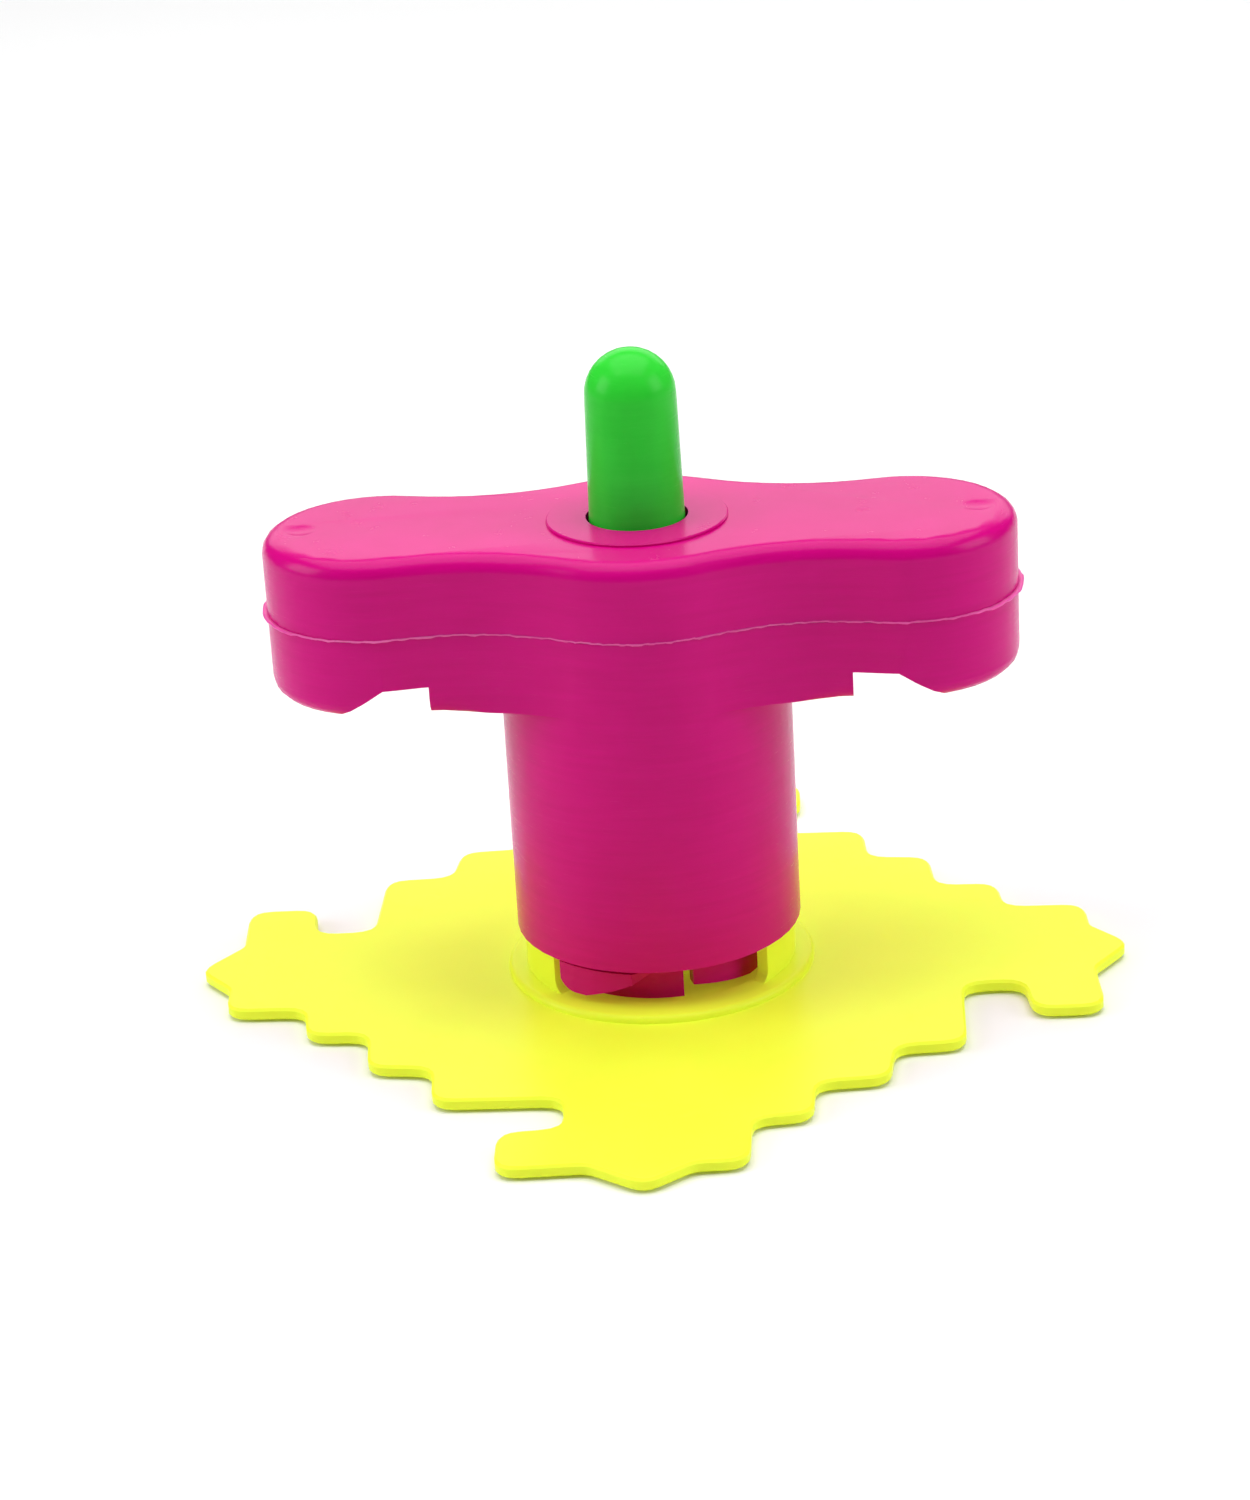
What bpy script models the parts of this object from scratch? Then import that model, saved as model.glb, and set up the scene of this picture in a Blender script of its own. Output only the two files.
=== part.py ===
"""A push-and-spin disc launcher: a pocket toy that stands on the flat stepped disc that it spins.

The thumb presses the green plunger down into the pink finger grip.  The nut on the plunger's foot
can't turn, so it twists the spiral bar that stands in the drive hub, and the hub's two claws carry
the disc round.  A coil spring lifts the plunger again, and the disc, still turning, overruns the
hub: its posts meet the ramps behind the claws, which push it down and off.

Frame: the disc lies flat on z = 0, the spin axis is Z, and the grip's two wings lie along X.
Lengths below are millimetres; every point is scaled to metres when a mesh is made.
"""

import math

import bmesh
import bpy
from mathutils import Matrix, Vector

MM = 0.001
FULL_TURN = 2 * math.pi
GAP = 0.1  # between two moulded pieces that touch
RUNNING = 0.1  # radial clearance of a turning or sliding fit

# Driving dimensions of the disc.
DISC_RADIUS = 37.9  # from the spin axis to a tip, before its corner is rounded
DISC_THICKNESS = 1.0
DISC_CORNER = 1.9  # rounding of the outline's corners
DISC_EDGE = 0.2
# One arm's outline, from its tip round the steps to the hook beside the next arm's tip.
ARM_OUTLINE = (
    (DISC_RADIUS, 0.0),
    (34.9, 3.6),
    (34.7, 7.6),
    (28.2, 7.7),
    (27.7, 12.3),
    (22.7, 12.4),
    (22.2, 18.1),
    (17.1, 18.6),
    (16.7, 24.1),
    (6.6, 24.2),
    (6.4, 29.0),
    (11.3, 29.5),
    (11.2, 35.2),
    (4.4, 34.8),
)
ARMS = 4
BAND_OUTER = 12.4  # the raised band round the tube's foot
BAND_INNER = 9.6
BAND_TOP = 1.6
BAND_ROUNDING = 0.5
COLLAR_OUTER = 10.9
COLLAR_INNER = 9.9
COLLAR_TOP = 4.6
COLLAR_WINDOW = 51.0  # half the angle that each of the two windows spans, in degrees
WINDOW_TURN = 2.5  # how far a window's middle is turned past the claw's, in degrees
SOCKET_INNER = 2.8
SOCKET_OUTER = 4.0
SOCKET_TOP = 4.2
WINDOW_CORNER = 6.0  # degrees over which a window's lower corner is rounded
WINDOW_FILLET = 1.1
BRACE_REACH = 6.9  # of the two low ribs beside the socket
BRACE_THICKNESS = 0.9
BRACE_TOP = 3.6

# Driving dimensions of the grip.
TUBE_OUTER = 11.45
TUBE_INNER = 10.0
TUBE_FOOT = 5.0
BULKHEAD_BOTTOM = 8.5
BULKHEAD_TOP = 10.3
WING_BOTTOM = 26.0
SEAM = 32.5
GRIP_TOP = 38.7
LOBE_CENTRE = 20.6  # along X
LOBE_RADIUS = 8.8
WAIST_RADIUS = 18.0  # of the concave stretch between the middle and a lobe
WALL = 1.35
TOP_FILLET = 1.4
FLOOR = 1.4
TONGUE = 0.75  # how far the cover's tongue is set in from the outside
TONGUE_DEPTH = 1.2
EDGE_ROUNDING = 1.3  # of the wings' lower edge, which fades out towards the tube
EDGE_START = 12.0
EDGE_FULL = 17.0
GROOVE_TOP = 28.3  # the finger groove across the underside of each wing
GROOVE = ((16.3, 26.0), (16.3, GROOVE_TOP), (19.8, GROOVE_TOP), (23.2, 26.0))
PEG_X = 25.4
PEG_RADIUS = 1.45
BOSS_RADIUS = 2.6
HOLE_RADIUS = 4.0
PAD_RADIUS = 7.1  # the low pad that the plunger comes through
PAD_HEIGHT = 0.25
GUIDE_RADIUS = 8.6  # the thicker part of the cover that guides the plunger
RIB_INNER = 8.6  # the two guide ribs that stop the nut from turning
GUIDE_WIDTH = 2.0

# Driving dimensions of what moves.
TRAVEL = 12.0
LEAD = 8.0  # the nut's drop for one turn of the bar
PLUNGER_FOOT = 34.85
FLANGE_THICKNESS = 1.2
FLANGE_RADIUS = 5.6
PLUNGER_FOOT_RADIUS = 3.8
PLUNGER_RADIUS = 3.55
PLUNGER_TOP = 52.3
PLUNGER_BORE = 2.75
NUT_BOTTOM = 32.7
NUT_TOP = 34.7
NUT_RADIUS = 9.2
BAR_WIDTH = 4.2
BAR_THICKNESS = 1.6
BAR_BOTTOM = 8.8
TWIST_START = 13.8
BAR_TOP = 35.6
TWIST_STEP = math.radians(6)
SLOT_CLEARANCE = 0.25
HUB_RADIUS = 9.7
HUB_PLATE_BOTTOM = 6.3
HUB_PLATE_TOP = 7.4
SKIRT_OUTER = 8.6
SKIRT_INNER = 7.4
SKIRT_BOTTOM = 1.4
SKIRT_STEP = 0.9  # how much shorter the skirt is just past each slot
SLOT_ANGLE = 17.0  # of the two slots that split the skirt, from the front
SLOT_WIDTH = 0.8
STEM_RADIUS = 3.5
STEM_TOP = 13.6
RING_GROOVE = (10.9, 11.6)
CLAW_NOSE = -46.0  # angle of the claw's driving face, in degrees from the front
CLAW_LOW_START = -36.0
CLAW_LOW_END = -31.0
CLAW_END = 20.0
CLAW_BOTTOM = 2.2
TOE_OUTER = 10.9  # the claw's toe reaches out under the tube's wall
TOE_TOP = 4.55
SPRING_RADIUS = 7.3
WIRE_RADIUS = 0.3
SPRING_TURNS = 7.5

PINK = ((0.80, 0.02, 0.26, 1.0), 0.35, 0.0)
GREEN = ((0.05, 0.62, 0.06, 1.0), 0.35, 0.0)
YELLOW = ((0.80, 0.95, 0.03, 1.0), 0.4, 0.0)
STEEL = ((0.62, 0.62, 0.64, 1.0), 0.3, 1.0)
NYLON = ((0.85, 0.84, 0.78, 1.0), 0.5, 0.0)


def clear_scene():
    for obj in list(bpy.data.objects):
        bpy.data.objects.remove(obj, do_unlink=True)


def material(name, look):
    """The Principled material of that name, made the first time it is asked for."""
    found = bpy.data.materials.get(name)
    if found:
        return found
    colour, roughness, metallic = look
    made = bpy.data.materials.new(name)
    made.use_nodes = True
    shader = made.node_tree.nodes["Principled BSDF"]
    shader.inputs["Base Color"].default_value = colour
    shader.inputs["Roughness"].default_value = roughness
    shader.inputs["Metallic"].default_value = metallic
    made.diffuse_color = colour
    return made


def finish_mesh(name, bm, smooth_angle=35):
    """Makes an object of a bmesh in millimetres."""
    bmesh.ops.recalc_face_normals(bm, faces=bm.faces)
    bm.transform(Matrix.Scale(MM, 4))
    mesh = bpy.data.meshes.new(name)
    bm.to_mesh(mesh)
    bm.free()
    mesh.shade_smooth()
    mesh.set_sharp_from_angle(angle=math.radians(smooth_angle))
    obj = bpy.data.objects.new(name, mesh)
    bpy.context.scene.collection.objects.link(obj)
    return obj


def paint(obj, name, look):
    obj.data.materials.append(material(name, look))
    return obj


def turned(name, profile, steps=64):
    """A solid of revolution about Z from a closed profile of (radius, height) points."""
    bm = bmesh.new()
    corners = [bm.verts.new((r, 0, z)) for r, z in profile]
    edges = [
        bm.edges.new((a, b))
        for a, b in zip(corners, corners[1:] + corners[:1])
        if not (a.co.x == 0 and b.co.x == 0)
    ]
    bmesh.ops.spin(
        bm,
        geom=corners + edges,
        cent=(0, 0, 0),
        axis=(0, 0, 1),
        angle=FULL_TURN,
        steps=steps,
        use_merge=True,
    )
    bmesh.ops.remove_doubles(bm, verts=bm.verts, dist=1e-4)
    return finish_mesh(name, bm)


def cylinder(name, radius, bottom, top, steps=48):
    return turned(name, [(0, bottom), (radius, bottom), (radius, top), (0, top)], steps)


def lofted(name, rings, closed=False):
    """A solid through rings of equally many points, capped at both ends unless it is closed."""
    bm = bmesh.new()
    rows = [[bm.verts.new(p) for p in ring] for ring in rings]
    pairs = list(zip(rows, rows[1:] + rows[:1] if closed else rows[1:]))
    for low, high in pairs:
        for i in range(len(low)):
            j = (i + 1) % len(low)
            bm.faces.new((low[i], low[j], high[j], high[i]))
    if not closed:
        bm.faces.new(rows[0])
        bm.faces.new(rows[-1])
    return finish_mesh(name, bm)


def prism(name, outline, bottom, top):
    return lofted(name, [[(x, y, z) for x, y in outline] for z in (bottom, top)])


def block(name, low, high):
    (x0, y0, z0), (x1, y1, z1) = low, high
    return prism(name, [(x0, y0), (x1, y0), (x1, y1), (x0, y1)], z0, z1)


def combine(target, tool, operation):
    """Adds the Boolean and hides the tool, which is then only a cutter or a joined part."""
    modifier = target.modifiers.new(tool.name, "BOOLEAN")
    modifier.object = tool
    modifier.operation = operation
    modifier.solver = "EXACT"
    tool.hide_render = True
    tool.display_type = "WIRE"
    return target


def cut(target, *tools):
    for tool in tools:
        combine(target, tool, "DIFFERENCE")
    return target


def join(target, *tools):
    for tool in tools:
        combine(target, tool, "UNION")
    return target


def polar(radius, degrees_from_front):
    """The point at that radius; the angle runs from the front (-Y) towards +X."""
    angle = math.radians(degrees_from_front)
    return radius * math.sin(angle), -radius * math.cos(angle)


def sector(name, inner, outer, start, end, bottom, top, steps=16):
    """A stretch of a ring between two angles from the front."""
    angles = [start + (end - start) * i / steps for i in range(steps + 1)]
    outline = [polar(outer, a) for a in angles] + [polar(inner, a) for a in reversed(angles)]
    return prism(name, outline, bottom, top)


def turned_copies(make, count=2):
    """The solid that make(name suffix) gives, repeated evenly round Z."""
    copies = []
    for i in range(count):
        obj = make(i)
        obj.rotation_euler.z = FULL_TURN * i / count
        copies.append(obj)
    return copies


# ---------------------------------------------------------------- disc


def rounded(points, radius, steps=4):
    """The closed outline with each corner replaced by an arc that fits its two sides."""
    outline = []
    count = len(points)
    for i, corner in enumerate(points):
        corner = Vector(corner)
        before = Vector(points[i - 1]) - corner
        after = Vector(points[(i + 1) % count]) - corner
        turn = before.angle(after)
        reach = min(radius / math.tan(turn / 2), 0.45 * min(before.length, after.length))
        start = corner + before.normalized() * reach
        end = corner + after.normalized() * reach
        for step in range(steps + 1):
            t = step / steps
            middle = start.lerp(corner, t).lerp(corner.lerp(end, t), t)
            outline.append((middle.x, middle.y))
    return outline


def disc_outline():
    corners = []
    for arm in range(ARMS):
        c, s = math.cos(FULL_TURN * arm / ARMS), math.sin(FULL_TURN * arm / ARMS)
        corners += [(x * c - y * s, x * s + y * c) for x, y in ARM_OUTLINE]
    return rounded(corners, DISC_CORNER)


def band_profile(root):
    """The raised band, with its outer edge rounded over."""
    centre = BAND_OUTER - BAND_ROUNDING, BAND_TOP - BAND_ROUNDING
    edge = arc(*centre, BAND_ROUNDING, 0, math.pi / 2, 4)
    return [(BAND_INNER, root), (BAND_OUTER, root)] + edge + [(BAND_INNER, BAND_TOP)]


def window(index):
    """Cutter for one opening between the collar's two posts, with rounded lower corners."""
    rings = []
    for step in range(-12, 13):
        angle = COLLAR_WINDOW * math.sin(math.pi / 2 * step / 12)
        inside = min((COLLAR_WINDOW - abs(angle)) / WINDOW_CORNER, 1)
        rise = WINDOW_FILLET * (1 - math.sqrt(1 - (1 - inside) ** 2))
        low = BAND_TOP - 0.12 + rise
        near = polar(COLLAR_INNER - 1, angle + WINDOW_TURN)
        far = polar(COLLAR_OUTER + 1, angle + WINDOW_TURN)
        rings.append([(*near, low), (*far, low), (*far, 9), (*near, 9)])
    return lofted(f"collar_window_{index}", rings)


def make_disc():
    disc = prism("spinner_disc", disc_outline(), 0, DISC_THICKNESS)
    bevel = disc.modifiers.new("edge", "BEVEL")
    bevel.width = DISC_EDGE * MM
    bevel.segments = 1
    bevel.limit_method = "ANGLE"
    bevel.angle_limit = math.radians(60)
    root = DISC_THICKNESS - 0.4  # the hub's walls start this low, inside the plate

    def ring(name, inner, outer, top):
        return turned(name, [(inner, root), (outer, root), (outer, top), (inner, top)])

    collar = ring("collar", COLLAR_INNER, COLLAR_OUTER, COLLAR_TOP)
    cut(collar, *turned_copies(window))
    braces = turned_copies(
        lambda i: block(
            f"brace_{i}",
            (SOCKET_OUTER - 0.4, -BRACE_THICKNESS / 2, root + 0.1),
            (BRACE_REACH, BRACE_THICKNESS / 2, BRACE_TOP),
        )
    )
    join(
        disc,
        turned("band", band_profile(root), 72),
        collar,
        ring("socket", SOCKET_INNER, SOCKET_OUTER, SOCKET_TOP),
        *braces,
    )
    paint(disc, "yellow_plastic", YELLOW)


# ---------------------------------------------------------------- grip


def waist():
    """Centre of the concave arc that touches both the middle's circle and a lobe's."""
    to_middle = TUBE_OUTER + WAIST_RADIUS
    to_lobe = LOBE_RADIUS + WAIST_RADIUS
    x = (to_middle**2 - to_lobe**2 + LOBE_CENTRE**2) / (2 * LOBE_CENTRE)
    return x, math.sqrt(to_middle**2 - x**2)


def arc(cx, cy, radius, start, end, steps):
    return [
        (
            cx + radius * math.cos(start + (end - start) * i / steps),
            cy + radius * math.sin(start + (end - start) * i / steps),
        )
        for i in range(steps + 1)
    ]


def wing_side(inset):
    """The back half of the right wing's outline, from the middle's arc to the lobe's end."""
    x, y = waist()
    into_waist = math.atan2(y, x)
    onto_lobe = math.atan2(y, x - LOBE_CENTRE)
    hollow = arc(
        x, y, WAIST_RADIUS + inset, into_waist - math.pi, onto_lobe - math.pi, 8
    )
    lobe = arc(LOBE_CENTRE, 0, LOBE_RADIUS - inset, onto_lobe, 0, 12)
    return hollow + lobe[1:]


def wing_outline(inset):
    """The right wing's outline, from the back of the middle round the lobe to its front."""
    side = wing_side(inset)
    return side + [(x, -y) for x, y in reversed(side[:-1])]


def middle_arc(inset, steps=14):
    """The front of the middle, from the left to the right wing, as (x, y) points between them."""
    x, y = waist()
    edge = math.atan2(y, x)
    return arc(0, 0, TUBE_OUTER - inset, edge - math.pi, -edge, steps)[1:-1]


def grip_outline(inset=0.0):
    """The whole grip seen from above: two lobes, two waists and a round middle."""
    right = list(reversed(wing_outline(inset)))
    half = middle_arc(inset) + right
    return half + [(-x, -y) for x, y in half]


def ring_at(inset, z):
    return [(x, y, z) for x, y in grip_outline(inset)]


def top_fillet():
    return [
        (TOP_FILLET * (1 - math.cos(a)), GRIP_TOP - TOP_FILLET * (1 - math.sin(a)))
        for a in (math.radians(d) for d in (0, 22, 45, 68, 90))
    ]


def make_cover():
    ceiling = GRIP_TOP - FLOOR
    rings = [ring_at(WALL, ceiling), ring_at(WALL, SEAM - TONGUE_DEPTH)]
    rings += [ring_at(TONGUE, SEAM - TONGUE_DEPTH), ring_at(TONGUE, SEAM), ring_at(0, SEAM)]
    rings += [ring_at(inset, z) for inset, z in top_fillet()]
    cover = lofted("grip_cover", rings)
    guide_bottom = ceiling - 0.8
    pad_top = GRIP_TOP + PAD_HEIGHT
    pad = [
        (0, GRIP_TOP - 0.3),
        (PAD_RADIUS, GRIP_TOP - 0.3),
        (PAD_RADIUS, pad_top - 0.1),
        (PAD_RADIUS - 0.1, pad_top),
        (0, pad_top),
    ]
    join(cover, cylinder("guide_boss", GUIDE_RADIUS, guide_bottom, ceiling + 0.4), turned("pad", pad))
    for side in (-1, 1):
        peg = turned(
            "peg_left" if side < 0 else "peg_right",
            [
                (0, WING_BOTTOM + FLOOR + 1.2),
                (PEG_RADIUS - 0.3, WING_BOTTOM + FLOOR + 1.2),
                (PEG_RADIUS, WING_BOTTOM + FLOOR + 1.5),
                (PEG_RADIUS, SEAM - 0.2),
                (BOSS_RADIUS, SEAM - 0.2),
                (BOSS_RADIUS, ceiling + 0.4),
                (0, ceiling + 0.4),
            ],
            24,
        )
        peg.location.x = side * PEG_X * MM
        join(cover, peg)
    cut(
        cover,
        cylinder("plunger_hole", HOLE_RADIUS, guide_bottom - 1, GRIP_TOP + 1),
    )
    for side in (-1, 1):
        dent = turned(
            "sink_left" if side < 0 else "sink_right",
            [(0, 0)] + [(6 * math.sin(a), 6 - 6 * math.cos(a)) for a in (0.09, 0.18, 0.27)] + [(0, 3)],
            20,
        )
        dent.location = (side * (PEG_X + 0.9) * MM, 0, (GRIP_TOP - 0.18) * MM)
        cut(cover, dent)
    paint(cover, "pink_plastic", PINK)


def eased_wing(inset):
    """The right wing's outline, drawn in by the inset except near the tube."""
    eased = []
    for full, small in zip(wing_outline(0), wing_outline(inset)):
        share = min(max((full[0] - EDGE_START) / (EDGE_FULL - EDGE_START), 0), 1)
        eased.append(tuple(Vector(full).lerp(Vector(small), share)))
    return eased


def body_shell():
    """The lower half of the wings with the tube under their middle, as one closed solid."""
    bm = bmesh.new()
    front = middle_arc(0)

    def both(points, z):
        rows = points, [(-x, -y) for x, y in points]
        return [[bm.verts.new((x, y, z)) for x, y in row] for row in rows]

    def whole(inset, z):
        middles = both(front, z)
        wings = both(list(reversed(eased_wing(inset))), z)
        return middles, wings, middles[0] + wings[0] + middles[1] + wings[1]

    levels = [whole(0, SEAM - GAP)]
    for degrees in (0, 30, 60, 90):
        turn = math.radians(degrees)
        inset, rise = EDGE_ROUNDING * (1 - math.cos(turn)), EDGE_ROUNDING * (1 - math.sin(turn))
        levels.append(whole(inset, WING_BOTTOM + rise))
    low_middles, low_wings, low = levels[-1]
    corner = low_wings[0][0].co
    edge = math.atan2(corner.y, corner.x)
    low_sides = both(arc(0, 0, TUBE_OUTER, edge, -edge, 16)[1:-1], WING_BOTTOM)
    circle = []
    for i in (0, 1):
        circle += low_middles[i] + [low_wings[i][0]] + low_sides[i] + [low_wings[i][-1]]
        bm.faces.new(low_wings[i] + list(reversed(low_sides[i])))
    foot = [bm.verts.new((v.co.x, v.co.y, TUBE_FOOT)) for v in circle]
    bands = [(lower[2], upper[2]) for upper, lower in zip(levels, levels[1:])]
    for lower, upper in bands + [(foot, circle)]:
        for i in range(len(lower)):
            j = (i + 1) % len(lower)
            bm.faces.new((lower[i], lower[j], upper[j], upper[i]))
    bm.faces.new(levels[0][2])
    bm.faces.new(foot)
    return finish_mesh("grip_body", bm)


def pocket(side):
    """The hollow of one wing; its floor follows the finger groove below it."""
    wall = wing_outline(WALL)
    rim = TUBE_OUTER + 0.6
    outline = [p for p in wall if math.hypot(*p) > rim]
    edge = math.atan2(-outline[0][1], outline[0][0])
    outline += arc(0, 0, rim, -abs(edge), abs(edge), 10)
    name = "left" if side < 0 else "right"
    outline = [(side * x, side * y) for x, y in outline]
    hollow = prism(f"pocket_{name}", outline, WING_BOTTOM + FLOOR, SEAM + 1)
    (x0, z0), (x1, z1), (x2, z2), (x3, z3) = GROOVE
    step = [
        (x0 - FLOOR, z0),
        (x1 - FLOOR, z1 + FLOOR),
        (x2 + 0.5, z2 + FLOOR),
        (x3 + 1.5, z3 + FLOOR - 0.5),
        (x3 + 1.5, z3),
    ]
    cut(hollow, across(f"pocket_step_{name}", step, side))
    return hollow


def across(name, profile, side):
    """A prism along Y from an (x, z) profile, on that side of the grip."""
    return lofted(name, [[(side * x, y, z) for x, z in profile] for y in (-20, 20)])


def guide_rib(index):
    """A rib along the tube; its top stands clear of the cover's tongue and still holds the nut."""
    half, step = GUIDE_WIDTH / 2, SEAM - TONGUE_DEPTH - 1
    profile = [
        (-TUBE_INNER - 0.5, BULKHEAD_TOP - 0.5),
        (-TUBE_INNER - 0.5, step),
        (-TUBE_INNER + 0.3, step),
        (-TUBE_INNER + 0.3, NUT_TOP - 0.3),
        (-RIB_INNER, NUT_TOP - 0.3),
        (-RIB_INNER, BULKHEAD_TOP - 0.5),
    ]
    return lofted(f"guide_rib_{index}", [[(x, y, z) for y, z in profile] for x in (-half, half)])


def make_body():
    body = body_shell()
    cut(
        body,
        cylinder("tube_mouth", TUBE_INNER, TUBE_FOOT - 1, BULKHEAD_BOTTOM, 64),
        cylinder("tube_bore", TUBE_INNER, BULKHEAD_TOP, SEAM + 1, 64),
        cylinder("bearing_bore", STEM_RADIUS + RUNNING, BULKHEAD_BOTTOM - 1, BULKHEAD_TOP + 1),
    )
    for side in (-1, 1):
        name = "left" if side < 0 else "right"
        groove = [(GROOVE[0][0], WING_BOTTOM - 1), *GROOVE[1:3]]
        groove += [(GROOVE[3][0] + (GROOVE[3][0] - GROOVE[2][0]) / 1.8, WING_BOTTOM - 1)]
        socket = cylinder(f"socket_{name}", BOSS_RADIUS, WING_BOTTOM + 0.6, SEAM - 0.4, 24)
        bore_floor = WING_BOTTOM + FLOOR + 0.9
        bore = cylinder(f"socket_bore_{name}", PEG_RADIUS + GAP, bore_floor, SEAM + 1, 24)
        socket.location.x = bore.location.x = side * PEG_X * MM
        cut(body, pocket(side))
        join(body, socket)
        cut(body, across(f"finger_groove_{name}", groove, side), bore)
    join(body, *turned_copies(guide_rib))
    rebate = lofted(
        "tongue_rebate",
        [
            ring_at(TONGUE - GAP, SEAM - TONGUE_DEPTH - GAP),
            ring_at(TONGUE - GAP, SEAM + 1),
            ring_at(WALL + 0.3, SEAM + 1),
            ring_at(WALL + 0.3, SEAM - TONGUE_DEPTH - GAP),
        ],
        closed=True,
    )
    cut(body, rebate)
    paint(body, "pink_plastic", PINK)


# ---------------------------------------------------------------- plunger and spiral drive


def make_plunger():
    dome = [math.radians(d) for d in range(0, 90, 10)]
    centre = PLUNGER_TOP - PLUNGER_RADIUS
    flange_top = PLUNGER_FOOT + FLANGE_THICKNESS
    profile = [
        (PLUNGER_BORE, PLUNGER_FOOT),
        (FLANGE_RADIUS, PLUNGER_FOOT),
        (FLANGE_RADIUS, flange_top),
        (PLUNGER_FOOT_RADIUS, flange_top),
    ]
    profile += [(PLUNGER_RADIUS * math.cos(a), centre + PLUNGER_RADIUS * math.sin(a)) for a in dome]
    profile += [(0, PLUNGER_TOP), (0, centre + 1.2), (PLUNGER_BORE - 1, centre + 0.8)]
    profile += [(PLUNGER_BORE, centre - 0.4)]
    plunger = turned("plunger", profile, 48)
    paint(plunger, "green_plastic", GREEN)


def strip(name, width, thickness, bottom, twist_from, top, turned_by=0.0):
    """A flat strip that twists left-handed, one turn for each LEAD, above twist_from."""
    half_w, half_t = width / 2, thickness / 2
    edge = [(-half_w, -half_t), (0, -half_t), (half_w, -half_t)]
    section = edge + [(-x, -y) for x, y in edge]
    steps = math.ceil((top - twist_from) / LEAD * FULL_TURN / TWIST_STEP)
    heights = [bottom] if bottom < twist_from else []
    heights += [twist_from + (top - twist_from) * i / steps for i in range(steps + 1)]
    rings = []
    for z in heights:
        angle = turned_by - max(z - twist_from, 0) / LEAD * FULL_TURN
        c, s = math.cos(angle), math.sin(angle)
        rings.append([(x * c - y * s, x * s + y * c, z) for x, y in section])
    return lofted(name, rings)


def make_bar():
    bar = strip("spiral_bar", BAR_WIDTH, BAR_THICKNESS, BAR_BOTTOM, TWIST_START, BAR_TOP)
    paint(bar, "spring_steel", STEEL)


def make_nut():
    rim = FLANGE_RADIUS + GAP
    nut = turned(
        "spiral_nut",
        [
            (0, NUT_BOTTOM),
            (NUT_RADIUS, NUT_BOTTOM),
            (NUT_RADIUS, NUT_TOP),
            (rim + 1, NUT_TOP),
            (rim + 1, PLUNGER_FOOT + FLANGE_THICKNESS - 0.1),
            (rim, PLUNGER_FOOT + FLANGE_THICKNESS - 0.1),
            (rim, NUT_TOP),
            (0, NUT_TOP),
        ],
        48,
    )
    start = NUT_BOTTOM - 0.5
    slot = strip(
        "nut_slot",
        BAR_WIDTH + 2 * SLOT_CLEARANCE,
        BAR_THICKNESS + 2 * SLOT_CLEARANCE,
        start,
        start,
        NUT_TOP + 0.5,
        -(start - TWIST_START) / LEAD * FULL_TURN,
    )
    cut(nut, slot)
    for turn in (0, 1):
        notch = block(
            f"nut_notch_{turn}",
            (-GUIDE_WIDTH / 2 - 0.3, -NUT_RADIUS - 1, NUT_BOTTOM - 1),
            (GUIDE_WIDTH / 2 + 0.3, -RIB_INNER + 0.4, NUT_TOP + 1),
        )
        notch.rotation_euler.z = math.pi * turn
        cut(nut, notch)
    paint(nut, "nylon", NYLON)


def claw_underside(angle):
    """Height of the claw's foot: a rounded nose, a low flat, then a ramp up to the hub's plate."""
    if angle < CLAW_LOW_START:
        share = (CLAW_LOW_START - angle) / (CLAW_LOW_START - CLAW_NOSE)
        return CLAW_BOTTOM + 1.6 * (1 - math.sqrt(1 - share**2))
    along = max(angle - CLAW_LOW_END, 0) / (CLAW_END - CLAW_LOW_END)
    return CLAW_BOTTOM + (HUB_PLATE_BOTTOM + 0.3 - CLAW_BOTTOM) * along * (0.6 + 0.4 * along)


def claw(index):
    """One claw, which drives a post of the disc with its nose; its toe ends where the ramp rises."""
    angles = [CLAW_NOSE + 1.25 * i for i in range(8)] + [CLAW_LOW_START]
    angles += [CLAW_LOW_END + (CLAW_END - CLAW_LOW_END) * i / 12 for i in range(13)]
    inner, top = SKIRT_OUTER - 0.4, HUB_PLATE_BOTTOM + 0.6
    rings = []
    for angle in angles:
        low = claw_underside(angle)
        share = min(max((TOE_TOP - 0.3 - low) / 0.6, 0), 1)
        reach = HUB_RADIUS + 0.1 + (TOE_OUTER - HUB_RADIUS - 0.1) * share
        step = max(TOE_TOP, low + 0.05)
        section = [(inner, low), (reach, low), (reach, step), (HUB_RADIUS, step)]
        section += [(HUB_RADIUS, top), (inner, top)]
        rings.append([(*polar(radius, angle), z) for radius, z in section])
    return lofted(f"claw_{index}", rings)


def skirt_relief(index):
    """Cutter that shortens the skirt just past a slot and fades out along it."""
    span = 40.0
    angles = [SLOT_ANGLE + span * i / 8 for i in range(9)]
    rings = []
    for angle in angles:
        near, far = polar(SKIRT_INNER - 0.5, angle), polar(SKIRT_OUTER + 0.06, angle)
        top = SKIRT_BOTTOM + SKIRT_STEP * (1 - (angle - SLOT_ANGLE) / span) + 0.02
        rings.append([(*near, 0), (*far, 0), (*far, top), (*near, top)])
    return lofted(f"skirt_relief_{index}", rings)


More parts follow.
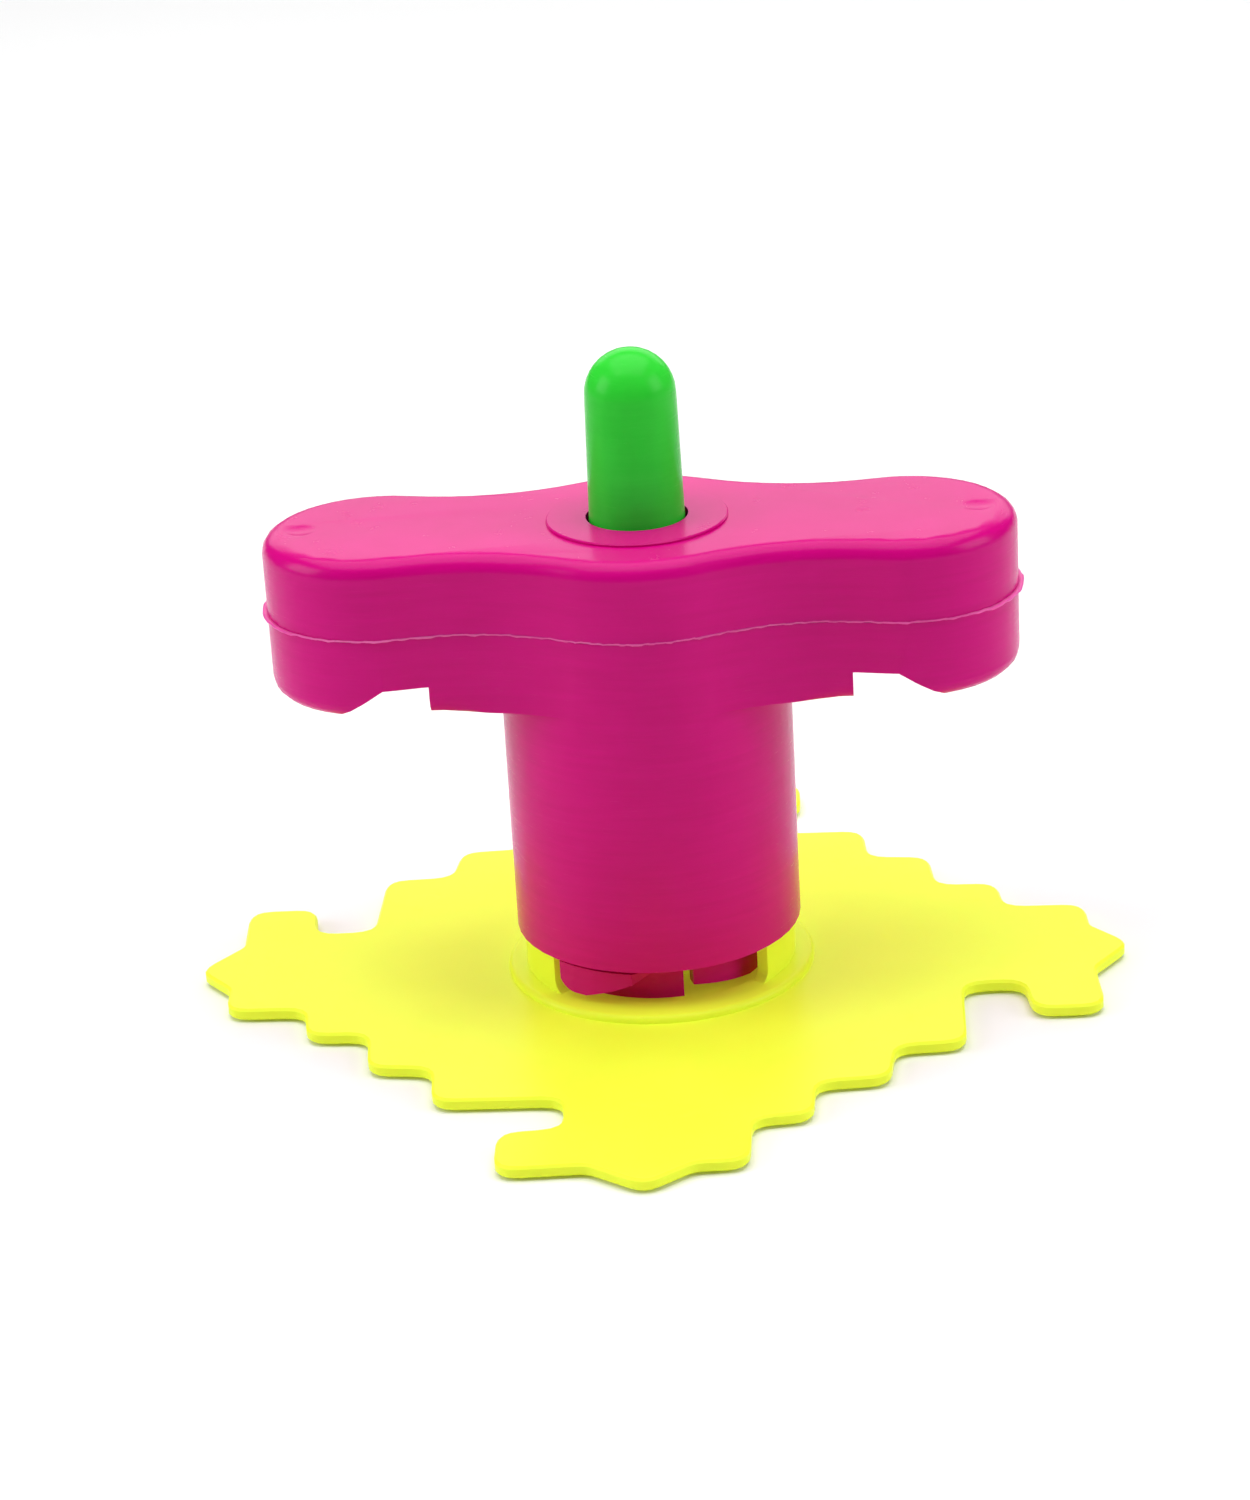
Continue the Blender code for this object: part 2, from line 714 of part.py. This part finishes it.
def make_hub():
    groove_bottom, groove_top = RING_GROOVE
    hub = turned(
        "drive_hub",
        [
            (0, SKIRT_BOTTOM),
            (SOCKET_INNER - 0.5, SKIRT_BOTTOM),
            (SOCKET_INNER - 0.2, SKIRT_BOTTOM + 0.3),
            (SOCKET_INNER - 0.2, HUB_PLATE_BOTTOM),
            (SKIRT_INNER, HUB_PLATE_BOTTOM),
            (SKIRT_INNER, SKIRT_BOTTOM),
            (SKIRT_OUTER, SKIRT_BOTTOM),
            (SKIRT_OUTER, HUB_PLATE_BOTTOM),
            (HUB_RADIUS, HUB_PLATE_BOTTOM),
            (HUB_RADIUS, HUB_PLATE_TOP),
            (STEM_RADIUS, HUB_PLATE_TOP),
            (STEM_RADIUS, groove_bottom),
            (STEM_RADIUS - 0.5, groove_bottom),
            (STEM_RADIUS - 0.5, groove_top),
            (STEM_RADIUS, groove_top),
            (STEM_RADIUS, STEM_TOP - 0.4),
            (STEM_RADIUS - 0.4, STEM_TOP),
            (0, STEM_TOP),
        ],
    )
    slots = turned_copies(
        lambda i: block(
            f"skirt_slot_{i}",
            (-SLOT_WIDTH / 2, -SKIRT_OUTER - 0.05, SKIRT_BOTTOM - 1),
            (SLOT_WIDTH / 2, -SKIRT_INNER + 1, HUB_PLATE_BOTTOM - 0.6),
        )
    )
    for slot in slots:
        slot.rotation_euler.z += math.radians(SLOT_ANGLE)
    cut(hub, *slots, *turned_copies(skirt_relief))
    join(hub, *turned_copies(claw))
    half_w, half_t = BAR_WIDTH / 2 + GAP, BAR_THICKNESS / 2 + GAP
    cut(hub, block("bar_socket", (-half_w, -half_t, BAR_BOTTOM - GAP), (half_w, half_t, STEM_TOP + 1)))
    paint(hub, "pink_plastic", PINK)


def make_washer():
    washer = turned(
        "thrust_washer",
        [
            (STEM_RADIUS + 0.2, HUB_PLATE_TOP + 0.3),
            (7.5, HUB_PLATE_TOP + 0.3),
            (7.5, BULKHEAD_BOTTOM - 0.3),
            (STEM_RADIUS + 0.2, BULKHEAD_BOTTOM - 0.3),
        ],
        48,
    )
    paint(washer, "nylon", NYLON)


def make_retaining_ring():
    """A C-shaped clip that snaps into the stem's groove above the bulkhead."""
    low, high = RING_GROOVE
    ring = sector("retaining_ring", STEM_RADIUS - 0.4, 5.0, 40, 320, low + 0.1, high - 0.1, 28)
    paint(ring, "spring_steel", STEEL)


def make_spring():
    """The return spring, from the bulkhead up to the nut; its end turns lie closed."""
    low = BULKHEAD_TOP + 0.1 + WIRE_RADIUS
    high = NUT_BOTTOM - 0.1 - WIRE_RADIUS
    steps_per_turn = 20
    count = int(SPRING_TURNS * steps_per_turn)
    pitch = 2.3 * WIRE_RADIUS  # of the closed turn at each end
    points = []
    for i in range(count + 1):
        turns = i / steps_per_turn
        left = SPRING_TURNS - turns
        if turns < 1:
            z = low + pitch * turns
        elif left < 1:
            z = high - pitch * left
        else:
            share = (turns - 1) / (SPRING_TURNS - 2)
            z = low + pitch + (high - low - 2 * pitch) * share
        angle = FULL_TURN * turns
        points.append((SPRING_RADIUS * math.cos(angle), SPRING_RADIUS * math.sin(angle), z))
    curve = bpy.data.curves.new("return_spring", "CURVE")
    curve.dimensions = "3D"
    curve.bevel_depth = WIRE_RADIUS * MM
    curve.bevel_resolution = 1
    curve.use_fill_caps = True
    spline = curve.splines.new("POLY")
    spline.points.add(len(points) - 1)
    for point, (x, y, z) in zip(spline.points, points):
        point.co = (x * MM, y * MM, z * MM, 1)
    spring = bpy.data.objects.new("return_spring", curve)
    bpy.context.scene.collection.objects.link(spring)
    paint(spring, "spring_steel", STEEL)


def main():
    clear_scene()
    make_disc()
    make_body()
    make_cover()
    make_plunger()
    make_nut()
    make_bar()
    make_hub()
    make_washer()
    make_retaining_ring()
    make_spring()


main()
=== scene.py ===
"""The looks of the push-and-spin disc launcher: moulded plastics, steel, seam flash and studio.

Every length is in metres, in the frame of the CAD model: the spin axis is Z, the disc lies flat on
z = 0, and the grip's wings lie along X.
"""

import math

import bmesh
import bpy
from mathutils import Matrix, Vector


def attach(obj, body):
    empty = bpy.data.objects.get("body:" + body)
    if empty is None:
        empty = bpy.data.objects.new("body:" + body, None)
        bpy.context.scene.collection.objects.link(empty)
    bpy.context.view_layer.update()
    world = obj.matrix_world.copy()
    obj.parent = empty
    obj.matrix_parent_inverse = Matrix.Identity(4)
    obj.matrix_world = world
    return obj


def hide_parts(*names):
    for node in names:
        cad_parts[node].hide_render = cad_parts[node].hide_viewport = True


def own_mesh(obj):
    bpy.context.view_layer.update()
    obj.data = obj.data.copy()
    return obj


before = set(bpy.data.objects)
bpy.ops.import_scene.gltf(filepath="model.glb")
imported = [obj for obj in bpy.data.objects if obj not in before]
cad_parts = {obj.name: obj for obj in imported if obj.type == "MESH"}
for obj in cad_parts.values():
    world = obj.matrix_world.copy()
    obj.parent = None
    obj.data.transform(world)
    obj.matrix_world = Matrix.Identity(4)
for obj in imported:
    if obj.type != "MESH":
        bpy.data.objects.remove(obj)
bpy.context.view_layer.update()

FULL_TURN = 2 * math.pi
UP = Vector((0, 0, 1))

# The grip's outline and seam, as the CAD model has them.
TUBE_RADIUS = 0.01145
LOBE_CENTRE = 0.0206
LOBE_RADIUS = 0.0088
WAIST_RADIUS = 0.018
SEAM = 0.03245
FLASH_HALF_HEIGHT = 0.0001
FLASH_REACH = 0.00007  # mean distance that the flash stands proud
FLASH_AT_ENDS = 0.00034  # more of it at the two lobes' ends
FLASH_LEAST = 0.00004
FLASH_DRIFT = 0.00009  # how far its edge strays up and down
FLASH_ROOT = 0.00012  # how far it starts inside the grip
SPRING_BOTTOM = 0.0107
SPRING_TOP = 0.0323
SPRING_RADIUS = 0.0073
SPRING_WIRE = 0.0003
SPRING_TURNS = 7.5
SPRING_STEPS = 40  # for each turn
SPRING_SIDES = 10  # of the wire's section
CLOSED_COIL = 0.0007  # how far each end's closed turn rises

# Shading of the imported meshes.
SHARPEST = math.radians(32)  # two faces that meet at more than this keep a crisp edge between them
WELD_DISTANCE = 1e-6

# The floor and the lights.
FLOOR_REACH = 3.0
FLOOR_HEIGHT = -0.0002  # just clear of the disc's underside
FLOOR_GREY = (0.84, 0.84, 0.84, 1)
WORLD_STRENGTH = 0.05
LIT_POINT = (0, 0, 0.02)  # what the soft boxes face
SOFT_BOXES = (  # name, place, size and power in watts
    ("overhead", (0.0, 0.06, 0.7), (0.9, 0.8), 7.0),
    ("back", (0.0, 0.95, 0.44), (1.4, 0.5), 3.3),
    ("left", (-0.58, -0.12, 0.28), (0.35, 0.35), 1.8),
    ("right", (0.58, -0.12, 0.28), (0.35, 0.35), 1.5),
)

# The photographer's camera.
CAMERA_DISTANCE = 0.31
CAMERA_AZIMUTH = math.radians(3.3)
CAMERA_ELEVATION = math.radians(25.6)
CAMERA_ROLL = math.radians(-3.2)
CAMERA_LENS = 91.2
CAMERA_SENSOR = 36.0
ORIGIN_RIGHT = 0.0098  # where the origin lies in the view, as tangents from its centre
ORIGIN_DOWN = 0.0571


# ---------------------------------------------------------------- node helpers


class Look:
    """A material being wired up: its nodes, its links and its Principled shader."""

    def __init__(self, name, roughness, **constants):
        self.material = bpy.data.materials.new(name)
        self.material.use_nodes = True
        self.nodes = self.material.node_tree.nodes
        self.links = self.material.node_tree.links
        self.shader = self.nodes["Principled BSDF"]
        self.shader.inputs["Roughness"].default_value = roughness
        for socket, value in constants.items():
            self.shader.inputs[socket.replace("_", " ")].default_value = value
        self.place = self.nodes.new("ShaderNodeTexCoord").outputs["Object"]

    def add(self, kind, inputs=None, **settings):
        node = self.nodes.new(kind)
        for key, value in settings.items():
            setattr(node, key, value)
        for key, value in (inputs or {}).items():
            if isinstance(value, bpy.types.NodeSocket):
                self.links.new(value, node.inputs[key])
            else:
                node.inputs[key].default_value = value
        return node

    def stretched(self, x, y, z):
        """Object coordinates times a scale for each axis."""
        return self.add("ShaderNodeMapping", {"Vector": self.place, "Scale": (x, y, z)}).outputs[0]

    def noise(self, where, scale, detail=3.0, roughness=0.5):
        inputs = {"Vector": where, "Scale": scale, "Detail": detail, "Roughness": roughness}
        return self.add("ShaderNodeTexNoise", inputs).outputs["Fac"]

    def hairlines(self):
        """Thin level lines on the walls: 1 on a line and 0 off it."""
        where = self.add("ShaderNodeMapping", {"Vector": self.place, "Scale": (6, 6, 90)})
        where.inputs["Location"].default_value = (1.0, 1.0, 1.0)
        field = self.noise(where.outputs[0], 11.0, 2.0)
        off = self.math("ABSOLUTE", self.math("SUBTRACT", field, 0.5), 0.0)
        return self.between(off, 0.0, 0.006, 1.0, 0.0)

    def between(self, value, low, high, to_low=0.0, to_high=1.0):
        inputs = {"Value": value, "From Min": low, "From Max": high, "To Min": to_low, "To Max": to_high}
        return self.add("ShaderNodeMapRange", inputs, clamp=True).outputs["Result"]

    def math(self, operation, a, b):
        return self.add("ShaderNodeMath", {0: a, 1: b}, operation=operation).outputs[0]

    def mix(self, share, a, b):
        return self.add("ShaderNodeMixRGB", {"Fac": share, "Color1": a, "Color2": b}).outputs[0]

    def set(self, socket, value):
        self.links.new(value, self.shader.inputs[socket])

    def relief(self, *layers):
        """Bumps from (height socket, distance in metres) pairs, one on top of the other."""
        normal = None
        for value, distance in layers:
            inputs = {"Height": value, "Distance": distance, "Strength": 1.0}
            if normal:
                inputs["Normal"] = normal
            normal = self.add("ShaderNodeBump", inputs).outputs[0]
        self.set("Normal", normal)


def moulded_plastic(name, deep, bright, roughness, glow, flow=0.5, marks=0.25):
    """Slightly translucent polypropylene with flow marks, hairline scratches and scuffs.

    deep and bright are the colours that it drifts between, flow is the streaks' share of that
    drift against the clouds', and marks is how strong the scratches are.
    """
    look = Look(
        name,
        roughness,
        Subsurface_Weight=glow,
        Subsurface_Scale=0.0012,
        Subsurface_Radius=(1.0, 0.35, 0.5),
        IOR=1.49,
        Specular_IOR_Level=0.12,
    )
    cloudy = look.noise(look.place, 90.0, 4.0)
    streaks = look.noise(look.stretched(1, 1, 14), 160.0, 3.0, 0.6)
    blend = look.math("ADD", look.math("MULTIPLY", cloudy, 1 - flow), look.math("MULTIPLY", streaks, flow))
    base = look.mix(look.between(blend, 0.32, 0.68), deep, bright)
    hairlines = look.hairlines()
    worn = look.noise(look.place, 130.0, 3.0)
    scratches = look.math("MULTIPLY", hairlines, look.between(worn, 0.6, 0.8, 0, marks))
    pale = tuple(0.75 * c + 0.25 for c in bright[:3]) + (1,)
    look.set("Base Color", look.mix(look.math("MULTIPLY", scratches, 0.3), base, pale))
    scuffs = look.between(look.noise(look.stretched(1, 1, 30), 420.0, 5.0, 0.75), 0.6, 0.78)
    dull = look.math("MULTIPLY", look.math("ADD", scuffs, scratches), 0.14)
    look.set("Roughness", look.math("ADD", dull, roughness))
    peel = look.noise(look.place, 500.0, 2.0)
    look.relief((peel, 0.000006), (streaks, 0.000005), (scratches, 0.000002))
    return look


def pink_plastic():
    """The grip's and hub's plastic."""
    return moulded_plastic("pink_moulded", (0.58, 0.001, 0.185, 1), (0.655, 0.002, 0.222, 1), 0.24, 0.08)


def flash_plastic():
    """The same pink, painted lighter: a lit copy that stands in for the light shining through it where it is
    paper-thin.
    """
    return moulded_plastic("pink_flash", (0.78, 0.05, 0.32, 1), (0.92, 0.16, 0.46, 1), 0.35, 0.3)


def green_plastic():
    """The plunger's plastic, which is smoother."""
    return moulded_plastic("green_moulded", (0.02, 0.58, 0.025, 1), (0.04, 0.68, 0.045, 1), 0.25, 0.1, 0.15)


def yellow_plastic():
    """The thin fluorescent sheet, with a few dark specks, finer scuffing and a painted glow that lifts its
    shaded parts.
    """
    look = moulded_plastic("yellow_moulded", (0.71, 0.84, 0.035, 1), (0.77, 0.90, 0.045, 1), 0.34, 0.15, 0.2)
    look.shader.inputs["Emission Color"].default_value = (0.88, 0.92, 0.05, 1)
    look.shader.inputs["Emission Strength"].default_value = 0.17  # painted glow: lifts the sheet's shaded parts evenly, standing in for the pigment's fluorescence and the light it gathers
    cells = look.add("ShaderNodeTexVoronoi", {"Vector": look.place, "Scale": 110.0, "Randomness": 1.0})
    rare = look.add("ShaderNodeSeparateColor", {"Color": cells.outputs["Color"]}).outputs[0]
    dot = look.math("LESS_THAN", cells.outputs["Distance"], 0.035)
    speck = look.math("MULTIPLY", dot, look.math("GREATER_THAN", rare, 0.93))
    base = look.shader.inputs["Base Color"].links[0].from_socket
    look.set("Base Color", look.mix(speck, base, (0.12, 0.10, 0.01, 1)))
    return look


def steel():
    """Drawn steel: the bar, the clip and the return spring."""
    look = Look("spring_steel", 0.3, Metallic=1.0)
    drawn = look.noise(look.stretched(6, 6, 60), 300.0, 4.0)
    look.set("Base Color", look.mix(drawn, (0.42, 0.42, 0.44, 1), (0.68, 0.68, 0.70, 1)))
    look.set("Roughness", look.between(drawn, 0.3, 0.7, 0.22, 0.42))
    look.relief((drawn, 0.00001))
    return look


def nylon():
    """Cloudy white nylon: the nut and the thrust washer."""
    look = Look("white_nylon", 0.5, Subsurface_Weight=0.2, Subsurface_Scale=0.001)
    cloudy = look.noise(look.place, 220.0, 5.0)
    look.set("Base Color", look.mix(cloudy, (0.74, 0.72, 0.64, 1), (0.88, 0.87, 0.82, 1)))
    look.set("Roughness", look.between(cloudy, 0.3, 0.7, 0.42, 0.58))
    look.relief((cloudy, 0.00001))
    return look


def smooth(obj):
    """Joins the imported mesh's loose triangles and shades all but its sharp edges smooth."""
    mesh = obj.data
    if mesh.attributes.get("custom_normal"):
        mesh.attributes.remove(mesh.attributes["custom_normal"])
    mesh.shade_smooth()
    at = [tuple(round(c, 7) for c in v.co) for v in mesh.vertices]

    def ends(edge):
        a, b = edge
        return (at[a], at[b]) if at[a] < at[b] else (at[b], at[a])

    beside = {}
    for face in mesh.polygons:
        for edge in face.edge_keys:
            beside.setdefault(ends(edge), []).append(face.normal.copy())
    for edge in mesh.edges:
        normals = beside[ends(edge.vertices)]
        edge.use_edge_sharp = len(normals) != 2 or normals[0].angle(normals[1], math.pi) > SHARPEST
    weld = obj.modifiers.new("weld", "WELD")
    weld.merge_threshold = WELD_DISTANCE
    flats = obj.modifiers.new("flats", "WEIGHTED_NORMAL")  # keeps a rounded edge off the flat beside it
    flats.mode = "FACE_AREA_WITH_ANGLE"
    flats.keep_sharp = True


def dress(look, *names):
    """Gives those CAD nodes that material and smooth faces."""
    for name in names:
        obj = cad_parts[name]
        smooth(obj)
        obj.data.materials.clear()
        obj.data.materials.append(look.material)


# ---------------------------------------------------------------- pieces


def link(name, bm, look, body):
    """Makes an object of bm that rides on that body."""
    bmesh.ops.recalc_face_normals(bm, faces=bm.faces)
    mesh = bpy.data.meshes.new(name)
    bm.to_mesh(mesh)
    bm.free()
    mesh.shade_smooth()
    mesh.materials.append(look.material)
    obj = bpy.data.objects.new(name, mesh)
    bpy.context.scene.collection.objects.link(obj)
    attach(obj, body)
    return obj


def sweep(name, path, section, look, body, closed):
    """A tube along path; section(i, centre) gives the ring of points at each of its steps."""
    bm = bmesh.new()
    rows = [[bm.verts.new(p) for p in section(i, centre)] for i, centre in enumerate(path)]
    for low, high in zip(rows, rows[1:] + rows[:1] if closed else rows[1:]):
        for i in range(len(low)):
            j = (i + 1) % len(low)
            bm.faces.new((low[i], low[j], high[j], high[i]))
    if not closed:
        bm.faces.new(rows[0])
        bm.faces.new(rows[-1])
    return link(name, bm, look, body)


def arc(centre, radius, start, end, steps):
    """Points along an arc at the seam's height, without its last one."""
    cx, cy = centre
    angles = [start + (end - start) * i / steps for i in range(steps)]
    return [Vector((cx + radius * math.cos(a), cy + radius * math.sin(a), SEAM)) for a in angles]


def grip_outline():
    """The grip's outline at the seam, anticlockwise from the right lobe's front."""
    to_middle, to_lobe = TUBE_RADIUS + WAIST_RADIUS, LOBE_RADIUS + WAIST_RADIUS
    x = (to_middle**2 - to_lobe**2 + LOBE_CENTRE**2) / (2 * LOBE_CENTRE)
    y = math.sqrt(to_middle**2 - x**2)
    at_lobe = math.atan2(y, x - LOBE_CENTRE)
    at_middle = math.atan2(y, x)
    half = arc((LOBE_CENTRE, 0), LOBE_RADIUS, -at_lobe, at_lobe, 90)
    half += arc((x, y), WAIST_RADIUS, at_lobe - math.pi, at_middle - math.pi, 40)
    half += arc((0, 0), TUBE_RADIUS, at_middle, math.pi - at_middle, 50)
    half += arc((-x, y), WAIST_RADIUS, -at_middle, -at_lobe, 40)
    return half + [Vector((-p.x, -p.y, p.z)) for p in half]


def ragged(i, count):
    """A repeatable unevenness between about -1 and 1, the same after a whole turn."""
    turn = FULL_TURN * i / count
    waves = ((3, 0.7), (7, 2.1), (19, 0.4), (41, 5.2), (67, 1.3))
    return sum(math.sin(k * turn + phase) for k, phase in waves) / 3


def seam_flash(look):
    """The thin uneven lip of plastic that the two mould halves leave along the seam."""
    path = grip_outline()
    count = len(path)

    def section(i, centre):
        along = (path[(i + 1) % count] - path[i - 1]).normalized()
        out = along.cross(UP)
        end = max(0.0, abs(centre.x) - LOBE_CENTRE) / LOBE_RADIUS
        reach = FLASH_REACH * (1 + 0.55 * ragged(i, count)) + FLASH_AT_ENDS * end**2
        drift = FLASH_DRIFT * ragged(2 * i + 31, count)
        tip = centre + out * max(reach, FLASH_LEAST) + UP * drift
        rise = UP * FLASH_HALF_HEIGHT
        back = centre - out * FLASH_ROOT
        return [back + rise, back - rise, tip - rise * 0.4, tip + rise * 0.4]

    return sweep("seam_flash", path, section, look, "grip", True)


def return_spring(look):
    """The fine coil that stands for the CAD spring."""
    height = SPRING_TOP - SPRING_BOTTOM

    def lift(turns):
        """Height above the coil's bottom: the first and the last turn are closed, the rest open."""
        if turns < 1:
            return CLOSED_COIL * turns
        if turns > SPRING_TURNS - 1:
            return height - CLOSED_COIL * (SPRING_TURNS - turns)
        return CLOSED_COIL + (height - 2 * CLOSED_COIL) * (turns - 1) / (SPRING_TURNS - 2)

    path = []
    for i in range(int(SPRING_TURNS * SPRING_STEPS) + 1):
        turns = i / SPRING_STEPS
        angle = FULL_TURN * turns
        x, y = SPRING_RADIUS * math.cos(angle), SPRING_RADIUS * math.sin(angle)
        path.append(Vector((x, y, SPRING_BOTTOM + lift(turns))))
    around = [FULL_TURN * k / SPRING_SIDES for k in range(SPRING_SIDES)]

    def section(i, centre):
        out = Vector((centre.x, centre.y, 0)).normalized()
        return [centre + SPRING_WIRE * (out * math.cos(a) + UP * math.sin(a)) for a in around]

    coil = sweep("return_spring_coil", path, section, look, "grip", False)
    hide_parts("return_spring")
    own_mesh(coil)
    return coil


# ---------------------------------------------------------------- studio


def floor():
    """A plain pale sheet under the disc."""
    bm = bmesh.new()
    bmesh.ops.create_grid(bm, x_segments=2, y_segments=2, size=FLOOR_REACH)
    mesh = bpy.data.meshes.new("floor")
    bm.to_mesh(mesh)
    bm.free()
    plain = bpy.data.materials.new("floor_paper")
    plain.use_nodes = True
    shader = plain.node_tree.nodes["Principled BSDF"]
    shader.inputs["Base Color"].default_value = FLOOR_GREY
    shader.inputs["Roughness"].default_value = 0.9
    shader.inputs["Specular IOR Level"].default_value = 0.1
    mesh.materials.append(plain)
    obj = bpy.data.objects.new("floor", mesh)
    obj.location.z = FLOOR_HEIGHT
    bpy.context.scene.collection.objects.link(obj)


def softbox(name, place, size, power):
    light = bpy.data.lights.new(name, "AREA")
    light.shape = "RECTANGLE"
    light.size, light.size_y = size
    light.energy = power
    obj = bpy.data.objects.new(name, light)
    obj.location = place
    obj.rotation_euler = (Vector(LIT_POINT) - Vector(place)).to_track_quat("-Z", "Y").to_euler()
    bpy.context.scene.collection.objects.link(obj)


def studio():
    world = bpy.data.worlds.new("studio")
    world.use_nodes = True
    background = world.node_tree.nodes["Background"]
    background.inputs["Color"].default_value = (1, 1, 1, 1)
    background.inputs["Strength"].default_value = WORLD_STRENGTH
    bpy.context.scene.world = world
    for name, place, size, power in SOFT_BOXES:
        softbox(name, place, size, power)


def photographers_camera():
    """A camera in front of the toy, turned so that the origin falls where it does in the view."""
    sin_a, cos_a = math.sin(CAMERA_AZIMUTH), math.cos(CAMERA_AZIMUTH)
    sin_e, cos_e = math.sin(CAMERA_ELEVATION), math.cos(CAMERA_ELEVATION)
    back = Vector((sin_a * cos_e, -cos_a * cos_e, sin_e))
    right = Vector((cos_a, sin_a, 0))
    aim = Matrix((right, back.cross(right), back)).transposed()
    seen = Vector((ORIGIN_RIGHT, -ORIGIN_DOWN, -1)).normalized()
    swing = seen.rotation_difference(Vector((0, 0, -1))).to_matrix()
    turn = aim @ Matrix.Rotation(CAMERA_ROLL, 3, "Z") @ swing
    data = bpy.data.cameras.new("camera")
    data.sensor_width = CAMERA_SENSOR
    data.lens = CAMERA_LENS
    data.clip_start = 0.01
    obj = bpy.data.objects.new("camera", data)
    obj.matrix_world = Matrix.Translation(back * CAMERA_DISTANCE) @ turn.to_4x4()
    bpy.context.scene.collection.objects.link(obj)
    bpy.context.scene.camera = obj


def main():
    bpy.context.scene.view_settings.view_transform = "Standard"
    photographers_camera()
    pink, green, yellow = pink_plastic(), green_plastic(), yellow_plastic()
    metal, white = steel(), nylon()
    dress(pink, "grip_body", "grip_cover", "drive_hub")
    dress(green, "plunger")
    dress(yellow, "spinner_disc")
    dress(metal, "spiral_bar", "retaining_ring")
    dress(white, "spiral_nut", "thrust_washer")
    seam_flash(flash_plastic())
    return_spring(metal)
    floor()
    studio()


main()
